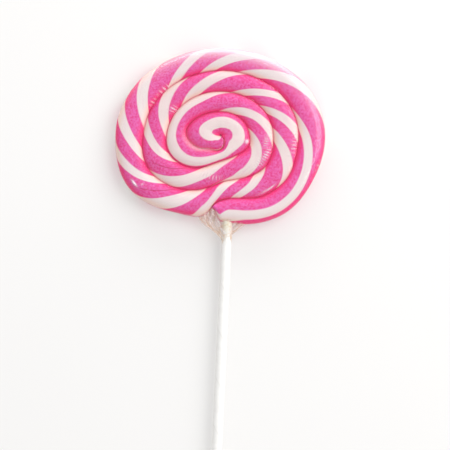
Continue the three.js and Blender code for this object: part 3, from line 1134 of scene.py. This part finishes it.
class LOLLIPOP_OT_stick(bpy.types.Operator):
    """Make the rolled paper stick"""

    bl_idname = "lollipop.stick"
    bl_label = "Paper stick"

    def execute(self, context):
        look = context.scene.lollipop_stick
        points, around, along = stick_grid(look.radius / MM)
        faces, rows4, columns4 = grid_faces(*around.shape)
        layer = np.stack([closed(around)[rows4, columns4], along[rows4, 0]], axis=-1)
        piece = new_piece("paper_stick", points, faces.tolist(), paper_material(look), STICK_SHARP_FROM)
        set_map(piece.data, "wound", layer)
        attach(piece, "root")
        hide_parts("stick")
        return {"FINISHED"}


def film_over_disc(look):
    """The film round the disc, open where the stick goes through. A point in the middle of the face and one
    in the middle of the back close it."""
    points, painted_sheen, pale = film_grid()
    rows, columns = painted_sheen.shape[0] - 2, painted_sheen.shape[1]
    inside = points[1:-1].reshape(-1, 3)
    away = np.hypot(inside[:, 0] - STICK_OFFSET, inside[:, 2] - MID_PLANE)
    pierced = (away < STICK_RADIUS + HOLE_ROUND_STICK) & (inside[:, 1] < 0.0)
    faces = grid_faces(rows, columns)[0]
    faces = faces[~pierced[faces].any(axis=1)]
    fans = end_fans(rows, columns)
    used = np.unique(np.concatenate([faces.ravel(), fans.ravel()]))
    points = np.concatenate([inside, points[[0, -1], 0]])[used]
    faces = np.searchsorted(used, faces).tolist() + np.searchsorted(used, fans).tolist()
    material = film_material("clear film", look, gathered=False)
    piece = new_piece("film_over_disc", points, faces, material, FILM_SHARP_FROM)
    set_share(piece.data, "painted_sheen", np.append(painted_sheen[1:-1], [0.0, 0.0])[used])
    set_share(piece.data, "pale", np.append(pale[1:-1], [0.0, 0.0])[used])
    return piece


def film_gather(look):
    """The film gathered round the stick."""
    points, fold, painted_sheen = neck_grid()
    faces = grid_faces(*fold.shape)[0].tolist()
    material = film_material("gathered film", look, gathered=True)
    piece = new_piece("film_gather", points, faces, material, FILM_SHARP_FROM)
    set_share(piece.data, "fold", fold)
    set_share(piece.data, "painted_sheen", painted_sheen)
    return piece


class LOLLIPOP_OT_film(bpy.types.Operator):
    """Make the clear film over the disc and its gather at the stick"""

    bl_idname = "lollipop.film"
    bl_label = "Clear film"

    def execute(self, context):
        look = context.scene.lollipop_film
        for piece in (film_over_disc(look), film_gather(look)):
            wall = piece.modifiers.new("wall", "SOLIDIFY")
            wall.thickness = look.wall
            wall.offset = 0.0
            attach(piece, "root")
            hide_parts("wrapper")
        return {"FINISHED"}


def soft_lamp(name, place, width, height, power):
    """A rectangular area lamp that looks at the disc."""
    light = bpy.data.lights.new(name, "AREA")
    light.shape = "RECTANGLE"
    light.size = width
    light.size_y = height
    light.energy = power
    lamp = bpy.data.objects.new(name, light)
    bpy.context.scene.collection.objects.link(lamp)
    lamp.location = Vector(place)
    towards = Vector((0.0, 0.0, MID_PLANE * MM)) - lamp.location
    lamp.rotation_euler = towards.to_track_quat("-Z", "Y").to_euler()


class LOLLIPOP_OT_stage(bpy.types.Operator):
    """Make the pale floor, the soft light and the camera"""

    bl_idname = "lollipop.stage"
    bl_label = "Stage"

    def execute(self, context):
        scene = context.scene
        look = scene.lollipop_stage
        corners = FLOOR_REACH * np.array([(-1, -1, 0), (1, -1, 0), (1, 1, 0), (-1, 1, 0)])
        mesh = bpy.data.meshes.new("floor")
        mesh.from_pydata(corners, [], [(0, 1, 2, 3)])
        mesh.materials.append(floor_material(look))
        floor = bpy.data.objects.new("floor", mesh)
        scene.collection.objects.link(floor)
        world = bpy.data.worlds.new("soft sky")
        world.use_nodes = True
        tree = world.node_tree
        sky = tree.nodes["Background"]
        sky.inputs["Strength"].default_value = look.sky
        right, back, _ = split(add(tree, "TexCoord").outputs["Generated"])
        shade = span(maths("MULTIPLY_ADD", back, SKY_TO_FRONT, right), *SKY_RISE)
        colour = blend(shade, 3 * [SKY_GREY], 3 * [1.0])
        tree.links.new(colour, sky.inputs["Color"])
        scene.world = world
        soft_lamp("soft lamp", *SOFT_LAMP, look.lamp)
        soft_lamp("back strip", *BACK_STRIP, look.strip)
        lens = bpy.data.cameras.new("camera")
        lens.sensor_width = SENSOR_WIDTH
        lens.lens = lens.sensor_width * look.distance / look.view_width
        lens.clip_start = 0.01
        camera = bpy.data.objects.new("camera", lens)
        scene.collection.objects.link(camera)
        middle = Vector(VIEW_MIDDLE) * MM
        away = Vector((0.0, -math.cos(look.elevation), math.sin(look.elevation)))
        camera.location = middle + look.distance * away
        camera.rotation_euler = (0.5 * math.pi - look.elevation, 0.0, 0.0)
        scene.camera = camera
        scene.view_settings.view_transform = "Standard"
        scene.cycles.transparent_max_bounces = 24
        return {"FINISHED"}


LOOKS = {
    "candy": LollipopCandy,
    "stick": LollipopStick,
    "film": LollipopFilm,
    "stage": LollipopStage,
}


class LOLLIPOP_PT_panel(bpy.types.Panel):
    """Lists what makes the lollipop"""

    bl_idname = "LOLLIPOP_PT_panel"
    bl_label = "Swirl lollipop"
    bl_space_type = "VIEW_3D"
    bl_region_type = "UI"
    bl_category = "Lollipop"

    def draw(self, context):
        for name, group in LOOKS.items():
            box = self.layout.box()
            box.operator("lollipop." + name)
            for key in group.__annotations__:
                box.prop(getattr(context.scene, "lollipop_" + name), key)


CLASSES = (
    *LOOKS.values(),
    LOLLIPOP_OT_candy,
    LOLLIPOP_OT_stick,
    LOLLIPOP_OT_film,
    LOLLIPOP_OT_stage,
    LOLLIPOP_PT_panel,
)


def register():
    """Registers the classes and puts their looks on the scene."""
    for each in CLASSES:
        bpy.utils.register_class(each)
    for name, group in LOOKS.items():
        setattr(bpy.types.Scene, "lollipop_" + name, bpy.props.PointerProperty(type=group))


def unregister():
    """Takes the looks and the classes away again."""
    for name in LOOKS:
        delattr(bpy.types.Scene, "lollipop_" + name)
    for each in reversed(CLASSES):
        bpy.utils.unregister_class(each)


def main():
    """Registers the add-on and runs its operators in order."""
    register()
    bpy.ops.lollipop.candy()
    bpy.ops.lollipop.stick()
    bpy.ops.lollipop.film()
    bpy.ops.lollipop.stage()


if __name__ == "__main__":
    main()
